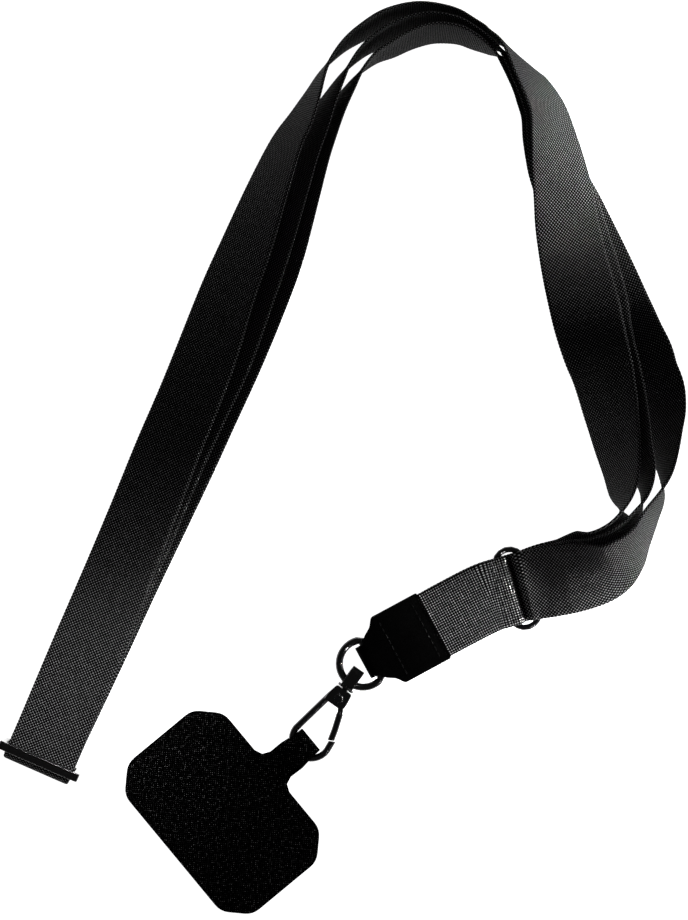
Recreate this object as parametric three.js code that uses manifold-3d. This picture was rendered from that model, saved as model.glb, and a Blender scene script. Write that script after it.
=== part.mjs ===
import * as THREE from 'three';
import { mergeVertices } from 'three/addons/utils/BufferGeometryUtils.js';
import Module from 'manifold-3d';

const wasm = await Module();
wasm.setup();

// Driving dimensions, in millimetres
const LAID_WIDTH = 246;
const LAID_LENGTH = 328;
const CLEARANCE = 0.3;

// Webbing
const WEB_WIDTH = 25;
const WEB_THICK = 1.2;
const STITCH_GAP = 0.2;
const FLAP_LENGTH = 22;
const ROWS_STEPS = 3;
const TURN_STEPS = 8;
const LAY_GAP = 0.8;
const FOLD_GAP = 1.5;
const DROP_STEP = 0.05;

// Slider, a frame with three bars that stands across the webbing
const SLIDER_BAR = 2.4;
const SLIDER_SLOT = 4.2;
const SLIDER_DEPTH = 3;
const SLIDER_POST = 2.4;
const SLIDER_PLAY = 0.4;
const SLIDER_ROUND = 1.5;
const SLIDER_RUN_OUT = 75;

// Oval ring
const RING_LENGTH = WEB_WIDTH + 5.8;
const RING_WIDTH = 12.8;
const RING_WIRE = 2.2;
const RING_SLACK = 0.7;
const RING_RUN_OUT = 16;

// Leather tab and D-ring
const LEATHER_THICK = 1.1;
const TAB_LENGTH = 28.6;
const TAB_WIDTH = WEB_WIDTH + 1;
const TAB_NECK_WIDTH = 12;
const TAB_NECK_LENGTH = 3;
const TAB_SHOULDER = 10.1;
const D_RING_OUTER = 19.6;
const D_RING_WIRE = 2.75;

// Clasp
const EYE_LENGTH = 8.2;
const EYE_WIDTH = 4.6;
const EYE_WALL = 1.2;
const COLLAR_WIDTH = 6.4;
const COLLAR_THICK = 0.9;
const POST_WIDTH = 2;
const FLANGE_WIDTH = 3.2;
const FLANGE_THICK = 0.6;
const HEAD_WALL = 0.8;
const HEAD_THICK = 5.2;
const FORK_SLOT = 2.5;
const RIVET_WIDTH = 1.7;
const RIVET_HEAD = 3;
const RIVET_RISE = 0.45;
const TONGUE_RADIUS = 1.8;
const HEAD_NOSE = 1.1;
const HOOK_WIRE = 2.5;
const BOW_RADIUS = 6.8;
const BOW_REACH = 22.8;
const BOW_OFFSET = 0.6;
const GATE_REACH = 15.4;
const GATE_WIRE = 2.5;

// Phone patch
const PATCH_LENGTH = 70;
const PATCH_WIDTH = 46;
const PATCH_THICK = 1.2;
const PATCH_CORNER = 8.2;
const PATCH_ROUND = 3;
const NECK_WIDTH = 11.5;
const NECK_FILLET = 4;
const LOOP_THICK = 0.9;
const PATCH_REACH = 41.2;

// Places on the table, as shares of the laid width and length, and directions in degrees from +X
const RING_AT = [0.750, 0.361];
const RING_TURN = 17;
const D_RING_AT = [0.5275, 0.2795];
const TAB_TURN = 28.4;
const CLASP_TURN = -125.4;
const PATCH_TURN = 39.6;

// The route of the three laid passes of the strap, from the slider round to the ring. The first pass
// is the one on top at the slider, the last pass the one below it, and the middle pass lies at a share
// of the way between them. Rolls are in degrees: 0 flat, 90 on edge, -180 turned over.
// Columns: first across, first up, last across, last up, middle share, first roll, last roll
const ROUTE = [
  [0.063, 0.177, 0.063, 0.177, 0.50, 0, 0],
  [0.081, 0.208, 0.081, 0.208, 0.50, 0, 0],
  [0.098, 0.239, 0.100, 0.238, 0.50, 2, 2],
  [0.133, 0.303, 0.140, 0.301, 0.45, 6, 6],
  [0.173, 0.375, 0.185, 0.372, 0.40, 12, 12],
  [0.209, 0.441, 0.227, 0.436, 0.40, 16, 16],
  [0.244, 0.508, 0.269, 0.500, 0.42, 20, 20],
  [0.274, 0.562, 0.303, 0.554, 0.50, 23, 23],
  [0.302, 0.616, 0.337, 0.607, 0.60, 26, 26],
  [0.333, 0.682, 0.377, 0.670, 0.58, 35, 35],
  [0.360, 0.732, 0.405, 0.720, 0.56, 41, 41],
  [0.391, 0.793, 0.433, 0.781, 0.60, 52, 51],
  [0.417, 0.840, 0.455, 0.826, 0.62, 61, 60],
  [0.438, 0.867, 0.471, 0.852, 0.62, 67, 66],
  [0.455, 0.893, 0.490, 0.878, 0.60, 75, 74],
  [0.468, 0.915, 0.509, 0.901, 0.60, 82, 80],
  [0.481, 0.930, 0.525, 0.918, 0.58, 87, 86],
  [0.501, 0.946, 0.547, 0.933, 0.55, 92, 92],
  [0.525, 0.959, 0.571, 0.942, 0.50, 96, 96],
  [0.560, 0.974, 0.597, 0.952, 0.50, 98, 98],
  [0.606, 0.981, 0.629, 0.959, 0.50, 99, 99],
  [0.653, 0.976, 0.664, 0.957, 0.50, 98, 97],
  [0.683, 0.966, 0.688, 0.949, 0.50, 95, 94],
  [0.709, 0.957, 0.710, 0.940, 0.50, 89, 88],
  [0.733, 0.944, 0.726, 0.931, 0.50, 82, 80],
  [0.760, 0.915, 0.750, 0.908, 0.50, 68, 70],
  [0.776, 0.897, 0.765, 0.891, 0.50, 60, 62],
  [0.791, 0.876, 0.779, 0.871, 0.50, 54, 55],
  [0.800, 0.850, 0.789, 0.843, 0.50, 46, 46],
  [0.808, 0.816, 0.803, 0.813, 0.50, 34, 35],
  [0.815, 0.784, 0.825, 0.779, 0.50, 27, 26],
  [0.820, 0.752, 0.846, 0.743, 0.45, 21, 15],
  [0.830, 0.715, 0.871, 0.702, 0.40, 13, 5],
  [0.844, 0.673, 0.896, 0.659, 0.30, 0, -8],
  [0.853, 0.645, 0.913, 0.633, 0.20, -12, -21],
  [0.863, 0.617, 0.929, 0.612, 0.17, -23, -31],
  [0.871, 0.597, 0.939, 0.593, 0.17, -31, -37],
  [0.877, 0.577, 0.950, 0.575, 0.18, -37, -43],
  [0.882, 0.559, 0.955, 0.555, 0.20, -41, -49],
  [0.887, 0.539, 0.957, 0.533, 0.25, -47, -58],
  [0.893, 0.514, 0.960, 0.509, 0.33, -54, -72],
  [0.898, 0.489, 0.960, 0.484, 0.50, -63, -86],
  [0.899, 0.463, 0.953, 0.460, 0.58, -75, -102],
  [0.896, 0.443, 0.939, 0.439, 0.54, -97, -109],
  [0.887, 0.426, 0.926, 0.417, 0.50, -124, -114],
  [0.874, 0.411, 0.908, 0.397, 0.50, -147, -129],
  [0.853, 0.394, 0.878, 0.381, 0.50, -163, -148],
  [0.827, 0.380, 0.834, 0.373, 0.50, -174, -169],
  [0.797, 0.373, 0.797, 0.368, 0.50, -179, -180],
];

// Heights that follow from the dimensions
const PITCH = WEB_THICK + CLEARANCE;
const LAY_PITCH = WEB_THICK + LAY_GAP;
// The loose fold by the ring opens the passes once they lean past these rolls
const FOLD_STARTS = THREE.MathUtils.degToRad(100);
const FOLD_FULL = THREE.MathUtils.degToRad(130);
const TAB_INNER = (3 * WEB_THICK + 4 * STITCH_GAP) / 2;
const AXIS_HEIGHT = LEATHER_THICK + TAB_INNER;
const RING_FOLD = RING_WIRE / 2 + CLEARANCE + WEB_THICK / 2;
const RING_HEIGHT = WEB_THICK / 2 + PITCH + RING_FOLD;
const BAR_HEIGHT = SLIDER_BAR * 1.5 + SLIDER_SLOT;
const INNER_LOOP = SLIDER_BAR / 2 + CLEARANCE + WEB_THICK / 2;
const BIGHT = INNER_LOOP + WEB_THICK + 2 * CLEARANCE;

const UP = new THREE.Vector3(0, 0, 1);
const radians = THREE.MathUtils.degToRad;
const smooth = THREE.MathUtils.smoothstep;
const mix = THREE.MathUtils.lerp;

// The direction in the plane of the table at an angle in degrees
function heading(degrees) {
  return new THREE.Vector3(Math.cos(radians(degrees)), Math.sin(radians(degrees)), 0);
}

// The point on the table at a share of the laid width and length
function laid([across, up]) {
  return new THREE.Vector3((across - 0.5) * LAID_WIDTH, (up - 0.5) * LAID_LENGTH, 0);
}

const RING_CENTRE = laid(RING_AT).setZ(RING_HEIGHT);
const D_CENTRE = laid(D_RING_AT).setZ(AXIS_HEIGHT);
const D_RADIUS = (D_RING_OUTER - D_RING_WIRE) / 2;
const BAR_FROM_FOLD = AXIS_HEIGHT;

// A point on the middle line of the ring or of the tab, at a distance from its centre
function ringPoint(distance, height) {
  return RING_CENTRE.clone().addScaledVector(heading(RING_TURN), distance).setZ(height);
}
function tabPoint(distance, height) {
  return D_CENTRE.clone().addScaledVector(heading(TAB_TURN), distance).setZ(height);
}

// Solids

// A closed geometry from points and faces, turned so that its faces point out
function closedGeometry(points, faces) {
  let volume = 0;
  for (const [a, b, c] of faces) {
    volume += points[a].dot(new THREE.Vector3().crossVectors(points[b], points[c])) / 6;
  }
  const outward = volume > 0 ? faces : faces.map(([a, b, c]) => [a, c, b]);
  const geometry = new THREE.BufferGeometry();
  const positions = points.flatMap((point) => point.toArray());
  geometry.setAttribute('position', new THREE.Float32BufferAttribute(positions, 3));
  geometry.setIndex(outward.flat());
  return geometry;
}

// A section carried along stations, each with its centre and its two cross directions
function sweep(stations, section, closed = false) {
  const sides = section.length;
  const points = stations.flatMap(({ centre, across, up }) =>
    section.map(([a, b]) => centre.clone().addScaledVector(across, a).addScaledVector(up, b)));
  const faces = [];
  const spans = closed ? stations.length : stations.length - 1;
  for (let i = 0; i < spans; i += 1) {
    const here = i * sides;
    const next = ((i + 1) % stations.length) * sides;
    for (let j = 0; j < sides; j += 1) {
      const k = (j + 1) % sides;
      faces.push([here + j, here + k, next + k], [here + j, next + k, next + j]);
    }
  }
  if (!closed) {
    const last = points.length - sides;
    for (let j = 1; j < sides - 1; j += 1) {
      faces.push([0, j + 1, j], [last, last + j, last + j + 1]);
    }
  }
  return closedGeometry(points, faces);
}

function circle(radius, sides) {
  return Array.from({ length: sides }, (_, i) => {
    const angle = (2 * Math.PI * (i + 0.5)) / sides;
    return [radius * Math.cos(angle), radius * Math.sin(angle)];
  });
}

// A round wire along a flat route of points, all at their own height
function wire(route, diameter, sides, closed = false) {
  const count = route.length;
  const stations = route.map((centre, i) => {
    const before = route[closed ? (i + count - 1) % count : Math.max(i - 1, 0)];
    const after = route[closed ? (i + 1) % count : Math.min(i + 1, count - 1)];
    const along = after.clone().sub(before).normalize();
    return { centre, across: new THREE.Vector3().crossVectors(along, UP).normalize(), up: UP };
  });
  return sweep(stations, circle(diameter / 2, sides), closed);
}

function toManifold(geometry) {
  const bare = geometry.clone();
  bare.deleteAttribute('normal');
  bare.deleteAttribute('uv');
  const merged = mergeVertices(bare, 1e-5);
  return new wasm.Manifold(new wasm.Mesh({
    numProp: 3,
    vertProperties: new Float32Array(merged.attributes.position.array),
    triVerts: new Uint32Array(merged.index.array),
  }));
}

function fromManifold(solid) {
  const mesh = solid.getMesh();
  const geometry = new THREE.BufferGeometry();
  geometry.setAttribute('position', new THREE.BufferAttribute(mesh.vertProperties, 3));
  geometry.setIndex(new THREE.BufferAttribute(mesh.triVerts, 1));
  return geometry;
}

// Joins, cuts and meets of geometries
function join(...parts) {
  return fromManifold(parts.map(toManifold).reduce((a, b) => a.add(b)));
}
function cut(body, ...tools) {
  return fromManifold(tools.map(toManifold).reduce((a, b) => a.subtract(b), toManifold(body)));
}
function meet(first, second) {
  return fromManifold(toManifold(first).intersect(toManifold(second)));
}

function polygon(points) {
  return new THREE.Shape(points.map(([x, y]) => new THREE.Vector2(x, y)));
}

// A shape of straight sides with its corners rounded
function roundedPolygon(points, radius) {
  const shape = new THREE.Shape();
  points.forEach(([x, y], i) => {
    const corner = new THREE.Vector2(x, y);
    const before = new THREE.Vector2(...points[(i + points.length - 1) % points.length]);
    const after = new THREE.Vector2(...points[(i + 1) % points.length]);
    const reach = Math.min(radius, corner.distanceTo(before) / 3, corner.distanceTo(after) / 3);
    const start = corner.clone().add(before.sub(corner).setLength(reach));
    const end = corner.clone().add(after.sub(corner).setLength(reach));
    if (i === 0) shape.moveTo(start.x, start.y);
    else shape.lineTo(start.x, start.y);
    shape.quadraticCurveTo(x, y, end.x, end.y);
  });
  shape.closePath();
  return shape;
}

// A flat plate of a shape, between two heights
function plate(shape, bottom, top, curveSegments = 4) {
  return new THREE.ExtrudeGeometry(shape, { depth: top - bottom, bevelEnabled: false, curveSegments })
    .translate(0, 0, bottom);
}

// A cylinder along the local X axis or standing on the local Z axis
function rodAlong(radius, from, to) {
  return new THREE.CylinderGeometry(radius, radius, to - from, 16)
    .rotateZ(Math.PI / 2).translate((from + to) / 2, 0, 0);
}
function rodUp(radius, from, to, x, y) {
  return new THREE.CylinderGeometry(radius, radius, to - from, 20)
    .rotateX(Math.PI / 2).translate(x, y, (from + to) / 2);
}

// Strap

// One column of the route at a place between its rows, on a smooth curve through the rows
function routeValue(column, place) {
  const last = ROUTE.length - 1;
  const row = Math.min(Math.floor(place), last - 1);
  const t = place - row;
  const value = (i) => ROUTE[Math.min(Math.max(i, 0), last)][column];
  const from = value(row);
  const to = value(row + 1);
  const leave = (to - value(row - 1)) / 2;
  const arrive = (value(row + 2) - from) / 2;
  return (2 * t ** 3 - 3 * t ** 2 + 1) * from + (t ** 3 - 2 * t ** 2 + t) * leave
    + (3 * t ** 2 - 2 * t ** 3) * to + (t ** 3 - t ** 2) * arrive;
}

// The unit direction along a list of points at one of them
function direction(points, i) {
  const before = points[Math.max(i - 1, 0)];
  const after = points[Math.min(i + 1, points.length - 1)];
  return after.clone().sub(before).normalize();
}

// Running lengths along a list of points
function lengths(points) {
  const run = [0];
  points.slice(1).forEach((point, i) => run.push(run[i] + point.distanceTo(points[i])));
  return run;
}

// How high the centre of a rolled strip lies when its lower edge rests on the table
function restHeight(roll) {
  return (WEB_WIDTH * Math.abs(Math.sin(roll)) + WEB_THICK * Math.abs(Math.cos(roll))) / 2;
}

// A strip's two edges seen along its run, as places to the left and heights
function edgesOf(strip, left, height) {
  const beside = strip.centre.dot(left);
  return [-0.5, 0.5].map((side) => new THREE.Vector3(
    beside - side * WEB_WIDTH * Math.cos(strip.roll), height + side * WEB_WIDTH * Math.sin(strip.roll), 0));
}

// How close two strips come, seen along their run
function apart(one, other) {
  const nearest = ([from, to], point) => new THREE.Line3(from, to)
    .closestPointToPoint(point, true, new THREE.Vector3()).distanceTo(point);
  const gaps = [...other.map((point) => nearest(one, point)), ...one.map((point) => nearest(other, point))];
  return Math.min(...gaps);
}

// The height at which a strip let down from above comes to rest on the table or on the strip below
function droppedHeight(strip, below, left) {
  const under = edgesOf(below, left, below.height);
  const rest = restHeight(strip.roll);
  const turned = smooth(-strip.roll, FOLD_STARTS, FOLD_FULL);
  const gap = LAY_PITCH + FOLD_GAP * turned;
  let height = Math.max(rest, below.height + WEB_WIDTH);
  while (height > rest && apart(edgesOf(strip, left, height - DROP_STEP), under) > gap) {
    height -= DROP_STEP;
  }
  return Math.max(height, rest);
}

// The three passes as rows of first, middle and last strip, at every step of the route
function layPasses() {
  const count = (ROUTE.length - 1) * ROWS_STEPS;
  const stacks = [];
  for (let i = 0; i <= count; i += 1) {
    const [ax, ay, cx, cy, share, aRoll, cRoll] =
      ROUTE[0].map((_, column) => routeValue(column, i / ROWS_STEPS));
    const first = { centre: laid([ax, ay]), roll: radians(aRoll) };
    const last = { centre: laid([cx, cy]), roll: radians(cRoll) };
    const middle = {
      centre: first.centre.clone().lerp(last.centre, share),
      roll: mix(first.roll, last.roll, share),
    };
    stacks.push([first, middle, last]);
  }
  stacks.forEach((stack, i) => {
    const along = direction(stacks.map((each) => each[1].centre), i);
    const left = new THREE.Vector3().crossVectors(UP, along);
    const order = Math.cos(stack[1].roll) > 0 ? [2, 1, 0] : [0, 1, 2];
    order.forEach((which, level) => {
      const strip = stack[which];
      strip.height = level === 0
        ? restHeight(strip.roll) : droppedHeight(strip, stack[order[level - 1]], left);
    });
  });
  return stacks;
}

const STACKS = layPasses();
const SLOT_HEIGHTS = [BAR_HEIGHT + BIGHT, BAR_HEIGHT + INNER_LOOP, BAR_HEIGHT - BIGHT];
const RING_HEIGHTS = [WEB_THICK / 2, RING_HEIGHT - RING_FOLD, RING_HEIGHT + RING_FOLD];
const RING_BAR = (RING_WIDTH - RING_WIRE) / 2;
// The ring's round ends push the folds inward where the webbing is wider than its straight bars
const RING_STRAIGHT = (RING_LENGTH - RING_WIDTH) / 2;
const PAST_STRAIGHT = Math.max(WEB_WIDTH / 2 - RING_STRAIGHT, 0);
const RING_PUSH = RING_BAR - Math.sqrt(RING_BAR ** 2 - PAST_STRAIGHT ** 2);
const FOLD_AT = RING_BAR - RING_PUSH - RING_SLACK;

// The selvedge direction of a strip: to the right of the way it runs, turned by its roll
function selvedge(points, i, roll) {
  const along = direction(points, i);
  const right = new THREE.Vector3().crossVectors(along, UP).normalize();
  const lift = new THREE.Vector3().crossVectors(right, along);
  return right.multiplyScalar(Math.cos(roll)).addScaledVector(lift, Math.sin(roll));
}

// One pass from the slider to the ring, as centres with their selvedge directions
function passStations(which) {
  const strips = STACKS.map((stack) => stack[which]);
  const flat = strips.map((strip) => strip.centre.clone());
  const rolls = strips.map((strip) => strip.roll);
  if (which > 0) {
    const end = ringPoint(FOLD_AT, 0);
    const before = flat[flat.length - 1].clone();
    for (const share of [0.25, 0.5, 0.7, 0.85, 1]) {
      flat.push(before.clone().lerp(end, share));
      rolls.push(-Math.PI);
    }
  }
  const heights = flat.map((_, i) => {
    const near = [-2, -1, 0, 1, 2].map((k) => strips[Math.min(Math.max(i + k, 0), strips.length - 1)]);
    return near.reduce((sum, strip) => sum + strip.height, 0) / near.length;
  });
  const run = lengths(flat);
  const total = run[run.length - 1];
  const centres = flat.map((point, i) => {
    const atSlider = 1 - smooth(run[i], 0, SLIDER_RUN_OUT);
    const atRing = 1 - smooth(total - run[i], 0, RING_RUN_OUT);
    const slot = mix(heights[i], SLOT_HEIGHTS[which], atSlider);
    const height = mix(slot, RING_HEIGHTS[which], atRing);
    return point.clone().setZ(Math.max(height, restHeight(rolls[i])));
  });
  return centres.map((centre, i) => ({ centre, across: selvedge(centres, i, rolls[i]) }));
}

// A half turn of webbing about a bar, from one height to the other, bulging along a direction
function halfTurn(from, bulge, radius, across, downwards) {
  const middle = from.centre.clone();
  middle.z -= downwards * radius;
  return Array.from({ length: TURN_STEPS - 1 }, (_, i) => {
    const angle = (Math.PI * (i + 1)) / TURN_STEPS;
    const centre = middle.clone().addScaledVector(bulge, radius * Math.sin(angle));
    centre.z += downwards * radius * Math.cos(angle);
    return { centre, across };
  });
}

// The selvedge direction beside the ring's bars, on the same side as a strip's own
function besideBar(across) {
  const along = heading(RING_TURN + 90);
  return along.multiplyScalar(Math.sign(along.dot(across)));
}

// The end of the first pass, from the ring to inside the leather tab
function tailStations() {
  const inTab = LEATHER_THICK + STITCH_GAP + WEB_THICK / 2;
  const rest = WEB_THICK / 2;
  const edge = TAB_LENGTH + WEB_THICK;
  const curve = new THREE.CatmullRomCurve3([
    ringPoint(2 * RING_BAR, rest), ringPoint(-RING_BAR / 2, rest), ringPoint(-2 * RING_BAR, rest),
    tabPoint(edge + RING_BAR, rest), tabPoint(edge, inTab),
    tabPoint(TAB_SHOULDER + WEB_THICK, inTab),
  ]);
  const centres = curve.getPoints(18).slice(2).map((point) => point.setZ(Math.max(point.z, rest)));
  return centres.map((centre, i) => ({ centre, across: selvedge(centres, i, Math.PI) }));
}

// The flap of the middle pass, sewn back under it past the slider's middle bar
function flapStations(middle) {
  const run = lengths(middle.map((station) => station.centre));
  const drop = 2 * INNER_LOOP;
  return middle.filter((_, i) => run[i] < FLAP_LENGTH).map(({ centre, across }, i) => ({
    centre: centre.clone().setZ(centre.z - mix(drop, PITCH, smooth(run[i], 0, FLAP_LENGTH))),
    across,
  }));
}

// Each station's cross directions, made square to the way the strip runs
function squareStations(stations) {
  const centres = stations.map((station) => station.centre);
  return stations.map(({ centre, across }, i) => {
    const along = direction(centres, i);
    const up = new THREE.Vector3().crossVectors(across, along).normalize();
    return { centre, across: new THREE.Vector3().crossVectors(along, up), up };
  });
}

const WEB_SECTION = [
  [-WEB_WIDTH / 2, -WEB_THICK / 2], [WEB_WIDTH / 2, -WEB_THICK / 2],
  [WEB_WIDTH / 2, WEB_THICK / 2], [-WEB_WIDTH / 2, WEB_THICK / 2],
];

function strap() {
  const [first, middle, last] = [0, 1, 2].map(passStations);
  const away = direction(first.map((station) => station.centre), 0).setZ(0).normalize();
  const outward = away.clone().negate();
  const flap = flapStations(middle);
  const lastAcross = besideBar(last[last.length - 1].across);
  last[last.length - 1].across = lastAcross;
  middle[middle.length - 1].across = besideBar(middle[middle.length - 1].across);
  const stations = [
    ...tailStations().reverse(),
    ...first.slice().reverse(),
    ...halfTurn(first[0], outward, BIGHT, first[0].across, 1),
    ...last,
    ...halfTurn(last[last.length - 1], heading(RING_TURN).negate(), RING_FOLD, lastAcross, 1),
    ...middle.slice().reverse(),
    ...halfTurn(middle[0], outward, INNER_LOOP, middle[0].across, 1),
    ...flap,
  ];
  return sweep(squareStations(stations), WEB_SECTION);
}

// The short loop of webbing from the tab round the ring's other bar
function shortLoop() {
  const low = LEATHER_THICK + 2 * STITCH_GAP + WEB_THICK * 1.5;
  const edge = TAB_LENGTH + WEB_THICK;
  const legRoute = (inTab, atRing) => new THREE.CatmullRomCurve3([
    tabPoint(TAB_SHOULDER + WEB_THICK, inTab), tabPoint(edge, inTab),
    ringPoint(-2 * RING_BAR, atRing), ringPoint(-RING_BAR - RING_WIRE / 2, atRing),
    ringPoint(-FOLD_AT, atRing),
  ]).getPoints(20);
  const lower = legRoute(low, RING_HEIGHT - RING_FOLD);
  const upper = legRoute(low + WEB_THICK + STITCH_GAP, RING_HEIGHT + RING_FOLD);
  const withAcross = (centres) =>
    centres.map((centre, i) => ({ centre, across: selvedge(centres, i, 0) }));
  const under = withAcross(lower);
  const over = withAcross(upper);
  for (const leg of [under, over]) leg[leg.length - 1].across = besideBar(leg[leg.length - 1].across);
  const turn = halfTurn(over[over.length - 1], heading(RING_TURN), RING_FOLD,
    over[over.length - 1].across, 1);
  return sweep(squareStations([...over, ...turn, ...under.reverse()]), WEB_SECTION);
}

// Metal rings and slider

function ovalRing() {
  const radius = RING_BAR;
  const along = heading(RING_TURN + 90);
  const across = heading(RING_TURN);
  const route = [];
  for (const side of [1, -1]) {
    for (let i = 0; i <= TURN_STEPS; i += 1) {
      const angle = (Math.PI * i) / TURN_STEPS;
      route.push(RING_CENTRE.clone()
        .addScaledVector(along, side * (RING_STRAIGHT + radius * Math.sin(angle)))
        .addScaledVector(across, side * radius * Math.cos(angle)));
    }
  }
  return wire(route, RING_WIRE, 12, true);
}

function dRing() {
  const steps = 3 * TURN_STEPS;
  const halfOpening = Math.acos(BAR_FROM_FOLD / D_RADIUS);
  const along = heading(TAB_TURN);
  const across = heading(TAB_TURN + 90);
  const route = Array.from({ length: steps + 1 }, (_, i) => {
    const angle = halfOpening + ((2 * Math.PI - 2 * halfOpening) * i) / steps;
    return D_CENTRE.clone().addScaledVector(along, D_RADIUS * Math.cos(angle))
      .addScaledVector(across, D_RADIUS * Math.sin(angle));
  });
  return wire(route, D_RING_WIRE, 12, true);
}

function slider() {
  const halfWidth = WEB_WIDTH / 2 + SLIDER_PLAY + SLIDER_POST;
  const height = 3 * SLIDER_BAR + 2 * SLIDER_SLOT;
  const halfSlot = WEB_WIDTH / 2 + SLIDER_PLAY;
  const frame = roundedPolygon(
    [[-halfWidth, 0], [halfWidth, 0], [halfWidth, height], [-halfWidth, height]], SLIDER_ROUND);
  frame.holes.push(new THREE.Path([
    new THREE.Vector2(-halfSlot, SLIDER_BAR), new THREE.Vector2(halfSlot, SLIDER_BAR),
    new THREE.Vector2(halfSlot, height - SLIDER_BAR), new THREE.Vector2(-halfSlot, height - SLIDER_BAR),
  ]));
  const middleBar = rodAlong(SLIDER_BAR / 2, -halfWidth + 1, halfWidth - 1).translate(0, BAR_HEIGHT, 0);
  return join(plate(frame, -SLIDER_DEPTH / 2, SLIDER_DEPTH / 2), middleBar);
}

// Leather tab, one piece folded round the straight bar of the D-ring

function leatherTab() {
  const fold = AXIS_HEIGHT;
  const side = new THREE.Shape();
  side.moveTo(TAB_LENGTH, 0);
  side.lineTo(TAB_LENGTH, LEATHER_THICK);
  side.lineTo(fold, LEATHER_THICK);
  side.absarc(fold, fold, TAB_INNER, -Math.PI / 2, Math.PI / 2, true);
  side.lineTo(TAB_LENGTH, 2 * fold - LEATHER_THICK);
  side.lineTo(TAB_LENGTH, 2 * fold);
  side.lineTo(fold, 2 * fold);
  side.absarc(fold, fold, fold, Math.PI / 2, (3 * Math.PI) / 2, false);
  side.closePath();
  const folded = plate(side, -TAB_WIDTH, TAB_WIDTH, 8).rotateX(Math.PI / 2);
  const half = TAB_WIDTH / 2;
  const neck = TAB_NECK_WIDTH / 2;
  const rows = [
    [-1, neck], [TAB_NECK_LENGTH, neck], [TAB_NECK_LENGTH * 1.6, mix(neck, half, 0.3)],
    [mix(TAB_NECK_LENGTH, TAB_SHOULDER, 0.7), mix(neck, half, 0.58)], [TAB_SHOULDER, half],
    [TAB_LENGTH, half],
  ];
  const outline = [...rows, ...rows.slice().reverse().map(([x, y]) => [x, -y])].reverse();
  return meet(folded, plate(roundedPolygon(outline, 0.8), -1, 2 * fold + 1));
}

// Clasp. Its own X runs from the D-ring's wire down to the bow and its Y to the gate's side

const HEAD_START = CLEARANCE + COLLAR_THICK + CLEARANCE;
const FLANGE_START = HEAD_START + HEAD_WALL + CLEARANCE;
const CHAMBER_END = FLANGE_START + FLANGE_THICK + CLEARANCE;
const RIVET_AT = CHAMBER_END + TONGUE_RADIUS;
const HEAD_END = RIVET_AT + TONGUE_RADIUS + HEAD_NOSE;

// The eye that the D-ring's wire runs through, with its collar and the post that the hook turns on
function swivelEye() {
  const height = D_RING_WIRE + 2 * (CLEARANCE + EYE_WALL);
  const end = CLEARANCE + COLLAR_THICK / 2;
  const start = end - EYE_LENGTH;
  const loop = roundedPolygon(
    [[start, -height / 2], [end, -height / 2], [end, height / 2], [start, height / 2]], height / 3);
  const reach = D_RING_WIRE / 2 + CLEARANCE;
  loop.holes.push(roundedPolygon([
    [start + EYE_WALL, -reach], [start + EYE_WALL, reach], [0, reach], [0, -reach],
  ].map(([x, y]) => [Math.min(x, CLEARANCE / 2), y]), reach));
  const eye = plate(loop, -EYE_WIDTH / 2, EYE_WIDTH / 2, 6).rotateX(Math.PI / 2);
  return join(
    eye,
    rodAlong(COLLAR_WIDTH / 2, CLEARANCE, CLEARANCE + COLLAR_THICK),
    rodAlong(POST_WIDTH / 2, CLEARANCE, FLANGE_START + FLANGE_THICK),
    rodAlong(FLANGE_WIDTH / 2, FLANGE_START, FLANGE_START + FLANGE_THICK),
  );
}

// The middle line of the hook's bow: from the nose round the bottom and up the spine to the head
function bowRoute() {
  const route = [];
  const nose = GATE_REACH + RIVET_AT - BOW_RADIUS / 2;
  const spineSide = mix(-HEAD_THICK / 2, BOW_OFFSET - BOW_RADIUS, 0.62);
  route.push(new THREE.Vector3(nose, BOW_OFFSET + BOW_RADIUS * 0.93, 0));
  for (let i = 0; i <= 2 * TURN_STEPS; i += 1) {
    const angle = (Math.PI * i) / (2 * TURN_STEPS);
    route.push(new THREE.Vector3(BOW_REACH + BOW_RADIUS * Math.sin(angle),
      BOW_OFFSET + BOW_RADIUS * Math.cos(angle), 0));
  }
  route.push(
    new THREE.Vector3(mix(HEAD_END, BOW_REACH, 0.5), spineSide, 0),
    new THREE.Vector3(RIVET_AT, -HEAD_THICK / 2 - CLEARANCE, 0),
  );
  return route;
}

function headShape() {
  const narrow = COLLAR_WIDTH / 2;
  const wide = narrow * 1.28;
  return roundedPolygon([
    [HEAD_START, -narrow], [HEAD_START, narrow], [RIVET_AT, narrow * 1.15],
    [HEAD_END - HEAD_WALL, narrow * 1.15],
    [HEAD_END, narrow * 0.6], [HEAD_END, -narrow * 0.8], [HEAD_END, -wide], [RIVET_AT, -wide],
  ].reverse(), HEAD_WALL);
}

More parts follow.
